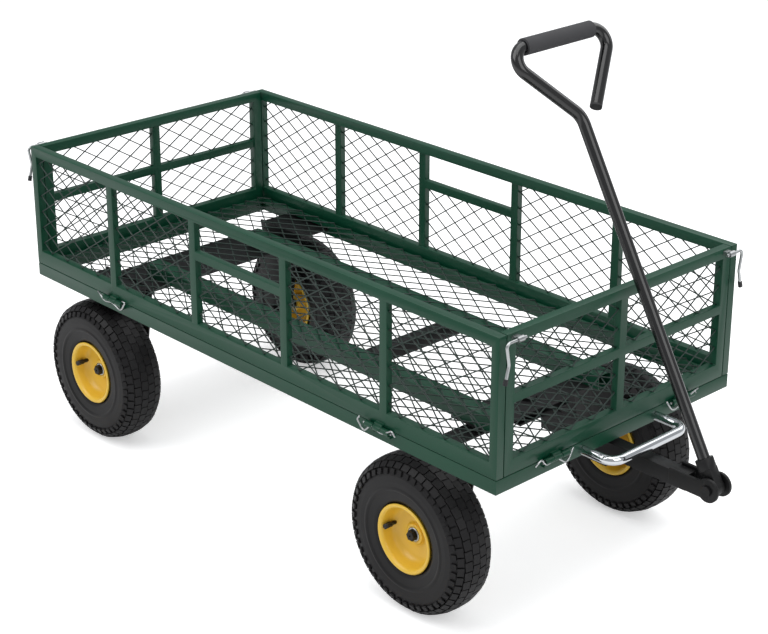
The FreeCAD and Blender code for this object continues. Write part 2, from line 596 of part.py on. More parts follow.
def pull_handle():
    foot, up, across = handle_frame()

    def at(y, s):
        point = foot + up * s + across * y
        return (point.x, point.y, point.z)

    reach = dim("GripReach")
    points = [at(0, 42), at(0, dim("ShaftLength")), at(dim("LoopLeft"), reach),
              at(dim("LoopRight"), reach + 2), at(dim("LoopEnd"), reach - 111)]
    bends = [dim("ShaftBend"), dim("LoopBend"), dim("LoopBend")]
    radius = dim("HandleTube") / 2
    tube = bent_rod(points, bends, radius, radius - dim("HandleWall"))
    node("handle_tube", shape_node("HandleTubeBent", tube))
    left, right = Vec(*points[2]), Vec(*points[3])
    along = (right - left).normalize()
    grip_start = left + along * (-66 - dim("LoopLeft"))
    sleeve = Part.makeCylinder(dim("GripRadius"), 146, grip_start, along)
    sleeve = sleeve.cut(Part.makeCylinder(radius, 150, grip_start - along * 2, along))
    node("handle_grip", shape_node("HandleGrip", sleeve))
    end = Vec(*points[-1])
    way = (end - right).normalize()
    plug = Part.makeCylinder(radius, 3, end, way)
    plug = plug.fuse(Part.makeCylinder(radius - dim("HandleWall"), 8, end - way * 8, way))
    node("handle_end_cap", shape_node("HandleEndCap", plug.removeSplitter()))
    collar = Part.makeCylinder(dim("CollarTube") / 2, 17, foot + up * 28, up)
    collar = collar.cut(Part.makeCylinder(radius, 10, foot + up * 42, up))
    tongue = Part.makeBox(24, 18, 32, Vec(-12, -9, -2))
    tongue.rotate(Vec(0, 0, 0), Y_AXIS, -dim("HandleLean"))
    tongue.translate(foot)
    eye = Part.makeCylinder(13, 18, foot - across * 9, across)
    bore = Part.makeCylinder(6.3, 40, foot - across * 20, across)
    node("handle_socket", shape_node("HandleSocket", collar.fuse([tongue, eye]).cut(bore).removeSplitter()))


def drawbar_head():
    """Two cheek plates on the drawbar's sides and the bolt that the handle swings on."""
    foot, up, across = handle_frame()
    cheeks = []
    z, radius, thick = dim("PivotHeight"), dim("CheekRadius"), dim("CheekPlate")
    x0, x1 = dim("DrawbarEnd") - 28, dim("PivotPlace")
    for side in (1, -1):
        inner = side * dim("DrawbarSize") / 2
        y0 = min(inner, inner + side * thick)
        low = z - radius + 4
        slab = Part.makeBox(x1 - x0, thick, dim("CheekTop") - low, Vec(x0, y0, low))
        nose = Part.makeCylinder(radius, thick, Vec(x1, y0, z), Y_AXIS)
        hole = Part.makeCylinder(6, 20, Vec(x1, y0 - 5, z), Y_AXIS)
        cheeks.append(slab.fuse(nose).cut(hole).removeSplitter())
    node("drawbar_cheeks", shape_node("DrawbarCheeks", Part.makeCompound(cheeks)))
    reach = dim("DrawbarSize") / 2 + thick
    bolt = Part.makeCylinder(6, 2 * reach, foot - across * reach, across)
    head = Part.makeCylinder(8, 4, foot - across * (reach + 4), across)
    nut = Part.makeCylinder(8, 5, foot + across * reach, across)
    node("handle_bolt", shape_node("HandleBolt", bolt.fuse([head, nut])))


# ---------------------------------------------------------------- make the cart
side_panel("right", -1)
side_panel("left", 1)
end_panel("front", 1)
end_panel("rear", -1)
bed()
release_bar()
hinges()
latches()
chassis()
front_bogie()
drawbar()
drawbar_head()
pull_handle()
for end_name, end_x in (("front", "FrontAxlePlace"), ("rear", "RearAxlePlace")):
    wheel(end_name + "_left", end_x, 1)
    wheel(end_name + "_right", end_x, -1)
for name, obj in nodes.items():
    set_back(name, obj)
doc.recompute()

# ---------------------------------------------------------------- test and write
for obj in doc.Objects:
    if "Invalid" in obj.State or "Error" in obj.State:
        raise RuntimeError("%s failed to compute" % obj.Name)
os.makedirs("parts", exist_ok=True)
for name, obj in nodes.items():
    if obj.Shape.isNull() or not obj.Shape.isValid():
        raise RuntimeError("%s has no valid shape" % name)
    obj.Shape.exportStep(os.path.join("parts", name + ".step"))
print("%d nodes, set back %.2f mm" % (len(nodes), value(SETBACK)))
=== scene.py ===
"""Looks of a tipping garden cart: welded mesh, tyres, rims, hinge clips, finishes and a plain stage."""

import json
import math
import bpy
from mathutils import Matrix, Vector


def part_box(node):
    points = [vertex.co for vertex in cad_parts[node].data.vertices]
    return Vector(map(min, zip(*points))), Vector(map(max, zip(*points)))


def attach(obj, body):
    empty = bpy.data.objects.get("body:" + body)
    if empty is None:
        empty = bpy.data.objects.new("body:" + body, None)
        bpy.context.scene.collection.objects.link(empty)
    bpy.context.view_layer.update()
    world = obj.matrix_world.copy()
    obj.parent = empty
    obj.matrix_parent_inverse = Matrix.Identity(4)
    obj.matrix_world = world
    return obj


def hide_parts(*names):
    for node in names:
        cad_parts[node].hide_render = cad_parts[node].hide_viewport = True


bl_info = {
    "name": "Tipping garden cart",
    "version": (1, 0, 0),
    "blender": (4, 5, 0),
    "location": "3D View > Sidebar > Cart",
    "description": "Adds the welded mesh, tyres, rims and finishes to the garden cart's frame",
    "category": "Object",
}

import bmesh
import bpy
from bpy.props import FloatProperty, FloatVectorProperty, IntProperty, PointerProperty
from mathutils import Euler, Matrix, Vector

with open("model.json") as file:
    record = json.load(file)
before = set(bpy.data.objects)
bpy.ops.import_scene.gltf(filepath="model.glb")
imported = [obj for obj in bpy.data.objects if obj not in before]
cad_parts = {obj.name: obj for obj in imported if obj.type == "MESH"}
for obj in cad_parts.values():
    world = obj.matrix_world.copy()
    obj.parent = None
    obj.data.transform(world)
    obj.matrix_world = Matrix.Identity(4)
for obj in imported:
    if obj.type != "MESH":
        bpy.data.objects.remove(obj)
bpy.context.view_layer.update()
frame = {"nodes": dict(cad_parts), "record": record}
MM = 0.001
BODIES = frame["record"]["behaviour"]["bodies"]
BODY_OF = {node: body for body, nodes in BODIES.items() for node in nodes}
SLOT_OF = {entry["node"]: entry["material_slot"] for entry in frame["record"]["subparts"]}
WHEELS = [end + "_" + side for end in ("front", "rear") for side in ("left", "right")]

# The panels' windows: a mid rail's height, its top on a side and on an end panel, and the posts' widths.
MID_RAIL, SLOT_TOP, END_TOP = 15 * MM, 458 * MM, 430 * MM
CORNER_POST, POST = 15 * MM, 16 * MM
SIDE_BAYS = 5

# A bent wire gives this share of its shorter leg to each bend.
BEND_SHARE = 0.35

# Rounding of a welded frame: points closer than MERGE are one, a face runs on over FLAT, an edge is past SHARP.
MERGE, FLAT, SHARP = 0.001 * MM, math.radians(1), math.radians(35)

# Each family of mesh wires stands off the middle plane by this share of the wire's radius, sunk into the other.
WELD_SHARE = 0.8

# What every finish shares: colour drifts in a metre, the strength of its relief, the gloss of a clear coat.
DRIFTS_PER_METRE, RELIEF_STRENGTH, COAT_ROUGHNESS = 9.0, 0.6, 0.12


# ---------------------------------------------------------------- small helpers
def linear(text):
    """An sRGB hex colour as linear red, green, blue and alpha."""
    parts = [int(text[i:i + 2], 16) / 255 for i in (1, 3, 5)]
    return tuple(p / 12.92 if p <= 0.04045 else ((p + 0.055) / 1.055) ** 2.4 for p in parts) + (1.0,)


def add(tree, kind, settings=None, inputs=None):
    """Adds one node. An input is given a value, or an output to link it to."""
    node = tree.nodes.new(kind)
    for name, value in (settings or {}).items():
        setattr(node, name, value)
    for name, value in (inputs or {}).items():
        if isinstance(value, bpy.types.NodeSocket):
            tree.links.new(value, node.inputs[name])
        else:
            node.inputs[name].default_value = value
    return node


def new_object(name, mesh, material, body, nodes=(), smooth=True):
    """Links a finished mesh as a piece that rides on a body and stands for CAD nodes."""
    mesh.name = name
    mesh.materials.clear()
    mesh.materials.append(material)
    mesh.polygons.foreach_set("use_smooth", [smooth] * len(mesh.polygons))
    piece = bpy.data.objects.new(name, mesh)
    bpy.context.scene.collection.objects.link(piece)
    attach(piece, body)
    if nodes:
        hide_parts(*nodes)
    return piece


def mesh_from(work):
    mesh = bpy.data.meshes.new("part")
    work.to_mesh(mesh)
    work.free()
    return mesh


def joined(meshes):
    """Several meshes as one."""
    work = bmesh.new()
    for mesh in meshes:
        work.from_mesh(mesh)
        bpy.data.meshes.remove(mesh)
    return mesh_from(work)


def lathe(outline, centre, side=1, steps=96):
    """Turns a closed outline of (radius, reach along +Y) points about a wheel's axle."""
    work = bmesh.new()
    rings = []
    for i in range(steps):
        angle = 2 * math.pi * i / steps
        ring = [work.verts.new((r * math.cos(angle), side * y, r * math.sin(angle))) for r, y in outline]
        rings.append(ring)
    count = len(outline)
    for i in range(steps):
        here, there = rings[i], rings[(i + 1) % steps]
        for j in range(count):
            k = (j + 1) % count
            work.faces.new((here[j], here[k], there[k], there[j]))
    bmesh.ops.recalc_face_normals(work, faces=work.faces)
    mesh = mesh_from(work)
    mesh.transform(Matrix.Translation(centre))
    return mesh


def tube(points, radius, sides=10, rounds=4):
    """A wire through points, its corners rounded, with closed ends."""
    path = [Vector(points[0])]
    for before, here, after in zip(points, points[1:], points[2:]):
        before, here, after = Vector(before), Vector(here), Vector(after)
        reach = BEND_SHARE * min((before - here).length, (after - here).length)
        start = here + (before - here).normalized() * reach
        end = here + (after - here).normalized() * reach
        for i in range(rounds + 1):
            t = i / rounds
            path.append(start * (1 - t) ** 2 + here * 2 * t * (1 - t) + end * t ** 2)
    path.append(Vector(points[-1]))
    work = bmesh.new()
    rings = []
    across = None
    for i, point in enumerate(path):
        ahead = (path[min(i + 1, len(path) - 1)] - path[max(i - 1, 0)]).normalized()
        if across is None:
            across = ahead.orthogonal().normalized()
        across = (across - ahead * across.dot(ahead)).normalized()
        over = ahead.cross(across)
        ring = []
        for j in range(sides):
            turn = 2 * math.pi * j / sides
            ring.append(work.verts.new(point + (across * math.cos(turn) + over * math.sin(turn)) * radius))
        rings.append(ring)
    for here, there in zip(rings, rings[1:]):
        for j in range(sides):
            k = (j + 1) % sides
            work.faces.new((here[j], here[k], there[k], there[j]))
    work.faces.new(list(reversed(rings[0])))
    work.faces.new(rings[-1])
    bmesh.ops.recalc_face_normals(work, faces=work.faces)
    return mesh_from(work)


def grown(tree, values):
    """Evaluates a node tree on an empty piece and returns what it makes as a plain mesh."""
    seed = bpy.data.objects.new("seed", bpy.data.meshes.new("seed"))
    bpy.context.scene.collection.objects.link(seed)
    modifier = seed.modifiers.new("grow", "NODES")
    modifier.node_group = tree
    sockets = {s.name: s.identifier for s in tree.interface.items_tree if s.in_out == "INPUT"}
    for name, value in values.items():
        modifier[sockets[name]] = value
    bpy.context.view_layer.update()
    graph = bpy.context.evaluated_depsgraph_get()
    mesh = bpy.data.meshes.new_from_object(seed.evaluated_get(graph))
    seed.modifiers.remove(modifier)
    bpy.data.objects.remove(seed)
    return mesh


def eased(node, width):
    """A CAD node's shape with its sharp edges rounded off."""
    work = bmesh.new()
    work.from_mesh(frame["nodes"][node].data)
    bmesh.ops.remove_doubles(work, verts=work.verts, dist=MERGE)
    bmesh.ops.dissolve_limit(work, angle_limit=FLAT, verts=work.verts, edges=work.edges)
    mesh = mesh_from(work)
    mesh.polygons.foreach_set("use_smooth", [True] * len(mesh.polygons))
    seed = bpy.data.objects.new("seed", mesh)
    bpy.context.scene.collection.objects.link(seed)
    bevel = seed.modifiers.new("ease", "BEVEL")
    bevel.width = width
    bevel.segments = 2
    bevel.limit_method = "ANGLE"
    bevel.angle_limit = SHARP
    bevel.use_clamp_overlap = False
    bevel.harden_normals = True
    bpy.context.view_layer.update()
    rounded = bpy.data.meshes.new_from_object(seed.evaluated_get(bpy.context.evaluated_depsgraph_get()))
    bpy.data.objects.remove(seed)
    return rounded


def new_tree(name, sockets):
    """An empty geometry tree with named inputs and one geometry output."""
    tree = bpy.data.node_groups.new(name, "GeometryNodeTree")
    for label, kind in sockets:
        tree.interface.new_socket(label, in_out="INPUT", socket_type=kind)
    tree.interface.new_socket("Geometry", in_out="OUTPUT", socket_type="NodeSocketGeometry")
    given = add(tree, "NodeGroupInput").outputs
    return tree, given


def close_tree(tree, geometry, material):
    """Ends a tree in Realize Instances and Set Material."""
    real = add(tree, "GeometryNodeRealizeInstances", inputs={"Geometry": geometry})
    painted = add(tree, "GeometryNodeSetMaterial", inputs={"Geometry": real.outputs[0], "Material": material})
    add(tree, "NodeGroupOutput", inputs={"Geometry": painted.outputs[0]})


def maths(tree, operation, first, second=0.0):
    node = add(tree, "ShaderNodeMath", {"operation": operation}, {0: first, 1: second})
    return node.outputs[0]


# ---------------------------------------------------------------- finishes
def coated(name, colour, shade, roughness, spread, grain, lift,
           coat=0.0, metallic=0.0, specular=0.5):
    """A principled surface with a soft colour drift, a varied gloss and a fine relief of one grain size."""
    material = bpy.data.materials.new(name)
    material.use_nodes = True
    tree = material.node_tree
    tree.nodes.clear()
    place = add(tree, "ShaderNodeTexCoord").outputs["Object"]
    drift = add(tree, "ShaderNodeTexNoise", inputs={"Vector": place, "Scale": DRIFTS_PER_METRE, "Detail": 4.0})
    fine = add(tree, "ShaderNodeTexNoise", inputs={"Vector": place, "Scale": 1 / grain, "Detail": 2.0})
    hue = add(tree, "ShaderNodeMix", {"data_type": "RGBA"}, {
        "Factor": drift.outputs[0], "A": linear(colour), "B": linear(shade)})
    gloss = add(tree, "ShaderNodeMapRange", inputs={
        "Value": drift.outputs[0], "From Min": 0.3, "From Max": 0.7,
        "To Min": roughness - spread, "To Max": roughness + spread})
    relief = add(tree, "ShaderNodeBump", inputs={
        "Height": fine.outputs[0], "Distance": lift, "Strength": RELIEF_STRENGTH})
    surface = add(tree, "ShaderNodeBsdfPrincipled", inputs={
        "Base Color": hue.outputs["Result"], "Roughness": gloss.outputs[0], "Normal": relief.outputs[0],
        "Metallic": metallic, "Specular IOR Level": specular,
        "Coat Weight": coat, "Coat Roughness": COAT_ROUGHNESS})
    add(tree, "ShaderNodeOutputMaterial", inputs={"Surface": surface.outputs[0]})
    return material


def green_enamel():
    """Sprayed enamel on welded steel: a clear sheen over a faint orange peel of about 3 mm."""
    return coated("green_enamel", "#043A27", "#07452F", 0.4, 0.05, 3 * MM, 0.12 * MM, coat=0.05, specular=0.38)


def green_wire():
    """The same enamel on drawn wire: a little darker."""
    return coated("green_wire_enamel", "#1A3029", "#142620", 0.45, 0.06, 2 * MM, 0.1 * MM)


def black_powder_coat():
    """Baked powder coat: a satin black with a fine pebble of about 1.5 mm."""
    return coated("black_powder_coat", "#0B0B0C", "#101011", 0.5, 0.06, 1.5 * MM, 0.1 * MM, specular=0.35)


def black_gloss_enamel():
    """Dipped gloss enamel on drawn tube: smooth and dark, with long clear highlights."""
    return coated("black_gloss_enamel", "#0C0C0D", "#101011", 0.18, 0.04, 4 * MM, 0.04 * MM, coat=0.5)


def yellow_enamel():
    """Sprayed enamel on pressed rims: warm yellow, a soft gloss."""
    return coated("yellow_enamel", "#E5B72E", "#EDC548", 0.36, 0.06, 3 * MM, 0.08 * MM, coat=0.2)


def tyre_rubber():
    """Moulded tyre rubber: matt, near black, a dusty bloom and a fine skin of about 1 mm."""
    return coated("tyre_rubber", "#0C0B0C", "#121012", 0.46, 0.08, 1.2 * MM, 0.15 * MM, specular=0.3)


def zinc_plate():
    """Bright zinc plate on bent wire: pale metal with a soft, slightly cloudy gloss."""
    return coated("zinc_plate", "#C4C6C6", "#AEB1B2", 0.3, 0.08, 2 * MM, 0.05 * MM, metallic=1.0)


def chrome_plate():
    """Polished chrome plate on tube: a bright mirror with a trace of haze."""
    return coated("chrome_plate", "#DDE0E3", "#D2D6DA", 0.1, 0.03, 5 * MM, 0.02 * MM, metallic=1.0)


def grip_foam():
    """Closed-cell foam sleeve: dull charcoal with a fine open pore of about 1 mm."""
    return coated("grip_foam", "#454547", "#3A3A3C", 0.92, 0.04, 1 * MM, 0.4 * MM)


def cap_rubber():
    """Dipped soft vinyl cap: black with a low sheen."""
    return coated("cap_vinyl", "#17171A", "#202023", 0.5, 0.05, 2 * MM, 0.05 * MM)


FINISHES = {}
MAKERS = {
    "green": green_enamel, "wire": green_wire, "black": black_powder_coat, "gloss": black_gloss_enamel,
    "yellow": yellow_enamel, "rubber": tyre_rubber, "zinc": zinc_plate, "chrome": chrome_plate,
    "foam": grip_foam, "vinyl": cap_rubber}
FINISH_OF_SLOT = {
    "green_enamel": "green", "black_enamel": "black", "yellow_enamel": "yellow", "tyre_rubber": "rubber",
    "zinc_plate": "zinc", "chrome_plate": "chrome", "grip_foam": "foam", "cap_rubber": "vinyl"}


def finish(name):
    """The material of one finish, made once."""
    if name not in FINISHES:
        FINISHES[name] = MAKERS[name]()
    return FINISHES[name]


# ---------------------------------------------------------------- node trees
def diamond_wire_tree():
    """Two families of slanting wires over a rectangle, welded where they meet."""
    tree, given = new_tree("diamond_wire", [
        ("Width", "NodeSocketFloat"), ("Height", "NodeSocketFloat"), ("Columns", "NodeSocketInt"),
        ("Rows", "NodeSocketInt"), ("Wire Radius", "NodeSocketFloat"), ("Material", "NodeSocketMaterial")])
    grid = add(tree, "GeometryNodeMeshGrid", inputs={
        "Size X": given["Width"], "Size Y": given["Height"],
        "Vertices X": maths(tree, "ADD", given["Columns"], 1.0),
        "Vertices Y": maths(tree, "ADD", given["Rows"], 1.0)})
    points = add(tree, "GeometryNodeMeshToPoints", {"mode": "FACES"}, {"Mesh": grid.outputs["Mesh"]})
    index = add(tree, "GeometryNodeInputIndex").outputs[0]
    column = maths(tree, "FLOOR", maths(tree, "DIVIDE", maths(tree, "ADD", index, 0.5), given["Rows"]))
    row = maths(tree, "SUBTRACT", index, maths(tree, "MULTIPLY", column, given["Rows"]))
    odd = maths(tree, "MODULO", maths(tree, "ADD", column, row), 2.0)
    sign = maths(tree, "SUBTRACT", maths(tree, "MULTIPLY", odd, 2.0), 1.0)
    run = maths(tree, "DIVIDE", given["Width"], given["Columns"])
    rise = maths(tree, "DIVIDE", given["Height"], given["Rows"])
    squares = maths(tree, "ADD", maths(tree, "MULTIPLY", run, run), maths(tree, "MULTIPLY", rise, rise))
    length = maths(tree, "SQRT", squares)
    slope = maths(tree, "MULTIPLY", maths(tree, "ARCTAN2", rise, run), sign)
    off_plane = maths(tree, "MULTIPLY", given["Wire Radius"], WELD_SHARE)
    lift = add(tree, "ShaderNodeCombineXYZ", inputs={"Z": maths(tree, "MULTIPLY", sign, off_plane)})
    moved = add(tree, "GeometryNodeSetPosition", inputs={
        "Geometry": points.outputs[0], "Offset": lift.outputs[0]})
    rod = add(tree, "GeometryNodeMeshCylinder", {"fill_type": "NONE"}, {
        "Vertices": 6, "Radius": given["Wire Radius"], "Depth": length})
    laid = add(tree, "GeometryNodeTransform", inputs={
        "Geometry": rod.outputs["Mesh"], "Rotation": Euler((0, math.pi / 2, 0))})
    euler = add(tree, "ShaderNodeCombineXYZ", inputs={"Z": slope})
    turn = add(tree, "FunctionNodeEulerToRotation", inputs={"Euler": euler.outputs[0]})
    wires = add(tree, "GeometryNodeInstanceOnPoints", inputs={
        "Points": moved.outputs[0], "Instance": laid.outputs[0], "Rotation": turn.outputs[0]})
    close_tree(tree, wires.outputs[0], given["Material"])
    return tree


def tread_tree():
    """One row of tread blocks round a tyre that turns about Z."""
    tree, given = new_tree("tread_row", [
        ("Blocks", "NodeSocketInt"), ("Radius", "NodeSocketFloat"), ("Phase", "NodeSocketFloat"),
        ("Lean", "NodeSocketFloat"), ("Twist", "NodeSocketFloat"), ("Block", "NodeSocketVector"),
        ("Material", "NodeSocketMaterial")])
    circle = add(tree, "GeometryNodeMeshCircle", inputs={"Vertices": given["Blocks"], "Radius": given["Radius"]})
    index = add(tree, "GeometryNodeInputIndex").outputs[0]
    pitch = maths(tree, "DIVIDE", 2 * math.pi, given["Blocks"])
    angle = maths(tree, "MULTIPLY", index, pitch)
    block = add(tree, "GeometryNodeMeshCube", inputs={"Size": given["Block"]})
    euler = add(tree, "ShaderNodeCombineXYZ", inputs={"X": given["Twist"], "Y": given["Lean"], "Z": angle})
    turn = add(tree, "FunctionNodeEulerToRotation", inputs={"Euler": euler.outputs[0]})
    row = add(tree, "GeometryNodeInstanceOnPoints", inputs={
        "Points": circle.outputs["Mesh"], "Instance": block.outputs["Mesh"], "Rotation": turn.outputs[0]})
    phase = add(tree, "ShaderNodeCombineXYZ", inputs={"Z": maths(tree, "MULTIPLY", given["Phase"], pitch)})
    spun = add(tree, "GeometryNodeTransform", inputs={"Geometry": row.outputs[0], "Rotation": phase.outputs[0]})
    close_tree(tree, spun.outputs[0], given["Material"])
    return tree


# ---------------------------------------------------------------- sizes and colours a user would change
class CartFrameSizes(bpy.types.PropertyGroup):
    """Sizes of the welded frames"""
    easing: FloatProperty(
        name="Easing", description="Radius of a tube's corners", default=0.7 * MM, unit="LENGTH")


class CartMeshSizes(bpy.types.PropertyGroup):
    """Sizes of the welded wire mesh"""
    wire: FloatProperty(
        name="Wire", description="Diameter of the mesh wire", default=2.3 * MM, unit="LENGTH", precision=4)
    cell_long: FloatProperty(
        name="Cell length", description="Long diagonal of a cell", default=48 * MM, unit="LENGTH")
    cell_short: FloatProperty(
        name="Cell height", description="Short diagonal of a cell", default=31.5 * MM, unit="LENGTH")


class CartTyreSizes(bpy.types.PropertyGroup):
    """Sizes of the tyres' tread"""
    blocks: IntProperty(name="Blocks", description="Tread blocks in one row", default=46, min=8)
    groove: FloatProperty(
        name="Groove", description="Depth of the tread's grooves", default=0.9 * MM, unit="LENGTH")


class CartStageSettings(bpy.types.PropertyGroup):
    """Brightness and colour of the stage"""
    floor: FloatVectorProperty(
        name="Floor", description="Colour of the floor", subtype="COLOR", default=linear("#F7F7F7")[:3])
    light: FloatProperty(
        name="Light", description="Strength of the studio lights", default=1.0, min=0.0)
    glow: FloatProperty(
        name="Glow", description="Share of the floor's own white", default=0.5, min=0.0)


# ---------------------------------------------------------------- welded frames
class CART_OT_welded_frames(bpy.types.Operator):
    """Round the edges of the drawn tubes and sheared plates"""
    bl_idname = "cart.welded_frames"
    bl_label = "Welded frames"

    TUBES = ("panel_front_frame", "panel_rear_frame", "panel_left_frame", "panel_right_frame", "bed_frame",
             "chassis_rail_left", "chassis_rail_right", "chassis_cross_bar", "drawbar", "drawbar_cheeks",
             "rear_axle_carriage", "front_axle_carriage", "handle_socket")

    def execute(self, context):
        width = context.scene.cart_frames.easing
        for node in self.TUBES:
            slot = SLOT_OF[node]
            material = finish("green" if slot == "green_enamel" else "black")
            new_object("eased_" + node, eased(node, width), material, BODY_OF[node], [node])
        return {"FINISHED"}


# ---------------------------------------------------------------- mesh
def wire_patch(tree, sizes, width, height, matrix):
    """A rectangle of welded wire in the XY plane, then set in its place."""
    columns = max(2, round(2 * width / sizes.cell_long))
    rows = max(2, round(2 * height / sizes.cell_short))
    mesh = grown(tree, {"Width": width, "Height": height, "Columns": columns, "Rows": rows,
                        "Wire Radius": sizes.wire / 2, "Material": finish("wire")})
    mesh.transform(matrix)
    return mesh


def upright(x, y, z, turned=False):
    """The place of a patch that stands up, along X or, if turned, along Y."""
    stand = Matrix.Rotation(math.pi / 2, 4, "X")
    about = Matrix.Rotation(math.pi / 2, 4, "Z") if turned else Matrix.Identity(4)
    return Matrix.Translation((x, y, z)) @ about @ stand


class CART_OT_wire_mesh(bpy.types.Operator):
    """Weld the diamond mesh into the panels and the floor"""
    bl_idname = "cart.wire_mesh"
    bl_label = "Wire mesh"

    def side(self, tree, sizes, name):
        """Five bays of mesh, the middle one lower to leave the hand slot open."""
        low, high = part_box("panel_%s_frame" % name)
        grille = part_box("panel_%s_mesh" % name)
        depth = (grille[0].y + grille[1].y) / 2
        bay = (high.x - low.x - 2 * CORNER_POST - (SIDE_BAYS - 1) * POST) / SIDE_BAYS
        bottom = grille[0].z
        patches = []
        for i in range(SIDE_BAYS):
            start = low.x + CORNER_POST + i * (bay + POST)
            top = SLOT_TOP - MID_RAIL if i == SIDE_BAYS // 2 else grille[1].z
            place = upright(start + bay / 2, depth, (bottom + top) / 2)
            patches.append(wire_patch(tree, sizes, bay, top - bottom, place))
        self.finish_panel(name, patches)

    def end(self, tree, sizes, name):
        """Four windows of mesh, two on each side of the middle post."""
        low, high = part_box("panel_%s_mesh" % name)
        depth = (low.x + high.x) / 2
        patches = []
        for y0, y1 in ((low.y, -POST / 2), (POST / 2, high.y)):
            for z0, z1 in ((low.z, END_TOP - MID_RAIL), (END_TOP, high.z)):
                place = upright(depth, (y0 + y1) / 2, (z0 + z1) / 2, turned=True)
                patches.append(wire_patch(tree, sizes, y1 - y0, z1 - z0, place))
        self.finish_panel(name, patches)

    def finish_panel(self, name, patches):
        node = "panel_%s_mesh" % name
        new_object("wire_mesh_" + name, joined(patches), finish("wire"), BODY_OF[node], [node])

    def execute(self, context):
        tree = diamond_wire_tree()
        sizes = context.scene.cart_mesh
        for name in ("left", "right"):
            self.side(tree, sizes, name)
        for name in ("front", "rear"):
            self.end(tree, sizes, name)
        low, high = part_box("bed_floor_mesh")
        middle = (low + high) / 2
        patch = wire_patch(tree, sizes, high.x - low.x, high.y - low.y, Matrix.Translation(middle))
        new_object("wire_mesh_floor", patch, finish("wire"), "bed", ["bed_floor_mesh"])
        return {"FINISHED"}


# ---------------------------------------------------------------- wheels
def wheel_frame(name):
    """A wheel's centre and which way its outer side faces."""
    low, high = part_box("tyre_" + name)
    return (low + high) / 2, (1 if name.endswith("left") else -1)


class CART_OT_tyres(bpy.types.Operator):
    """Mould the tyres: a round carcass with rings on its wall and rows of tread blocks"""
    bl_idname = "cart.tyres"
    bl_label = "Tyres"

    # Half a section, as radius and reach in millimetres: outside from bead to crown, with the rings on its
    # wall, and inside from crown to bead. Past SHOULDER it is scaled to end under the blocks.
    OUTSIDE = [(54, 27), (57, 31), (61, 34), (66, 36), (78, 37.4), (80.4, 39.4), (83.6, 39.4), (86, 38.2),
               (94, 38.4), (101, 37.8), (108, 35.8), (114, 32.2), (119, 27.4), (122.4, 21), (124.8, 13),
               (125.8, 5)]
    INSIDE = [(118, 0), (114, 22), (98, 33), (72, 31), (58, 24)]
    CROWN, SHOULDER = 126, 100

    # Each row of blocks, in millimetres: its reach from the middle, its drop below the crown, its start in
    # blocks, its lean in degrees, a block's width and length, and its twist in radians.
    ROWS = ((6.9, 2.5, 0.0, 3, 13.2, 15.6, 0.1), (20.2, 4.8, 0.5, 15, 12.4, 15.6, -0.08),
            (30.4, 10.9, 0.0, 38, 10.4, 13.6, 0.0), (36.6, 19.4, 0.5, 62, 8.6, 8.2, 0.0))
    BLOCK_DEPTH = 4.4

    def carcass(self, radius, groove):
        scale = (radius - groove) / (self.CROWN * MM)
        half = [(r * MM * scale if r > self.SHOULDER else r * MM, y * MM) for r, y in self.OUTSIDE]
        hollow = [(r * MM, -y * MM) for r, y in reversed(self.INSIDE[1:])]
        hollow += [(r * MM, y * MM) for r, y in self.INSIDE]
        return half + [(r, -y) for r, y in reversed(half)] + hollow

    def execute(self, context):
        tree = tread_tree()
        sizes = context.scene.cart_tyres
        for name in WHEELS:
            low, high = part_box("tyre_" + name)
            centre, radius = (low + high) / 2, (high.z - low.z) / 2
            meshes = [lathe(self.carcass(radius, sizes.groove), centre)]
            for reach, drop, phase, lean, across, along, twist in self.ROWS:
                for way in (1, -1):
                    row = grown(tree, {
                        "Blocks": sizes.blocks, "Radius": radius - drop * MM,
                        "Phase": phase + (0.5 if way < 0 else 0.0),
                        "Lean": -way * math.radians(lean), "Twist": way * twist,
                        "Block": (self.BLOCK_DEPTH * MM, along * MM, across * MM),
                        "Material": finish("rubber")})
                    row.transform(Matrix.Translation(centre + Vector((0, way * reach * MM, 0)))
                                  @ Matrix.Rotation(-math.pi / 2, 4, "X"))
                    meshes.append(row)
            piece = new_object("tyre_tread_" + name, joined(meshes), finish("rubber"), "wheel_" + name,
                               ["tyre_" + name])
            flatten_blocks(piece.data)
        return {"FINISHED"}


# A tread block's face: the corners' greatest distance from its middle, how flat it is, its least area.
BLOCK_REACH, BLOCK_FLATNESS, BLOCK_AREA = 11 * MM, 1e-6, 40e-6


def flatten_blocks(mesh):
    """Tread blocks keep flat faces beside the smooth carcass."""
    for face in mesh.polygons:
        corners = [mesh.vertices[i].co - face.center for i in face.vertices]
        spread = max(corner.length for corner in corners)
        bulge = max(abs(corner.dot(face.normal)) for corner in corners)
        face.use_smooth = not (
            spread < BLOCK_REACH and bulge < BLOCK_FLATNESS and face.area > BLOCK_AREA)


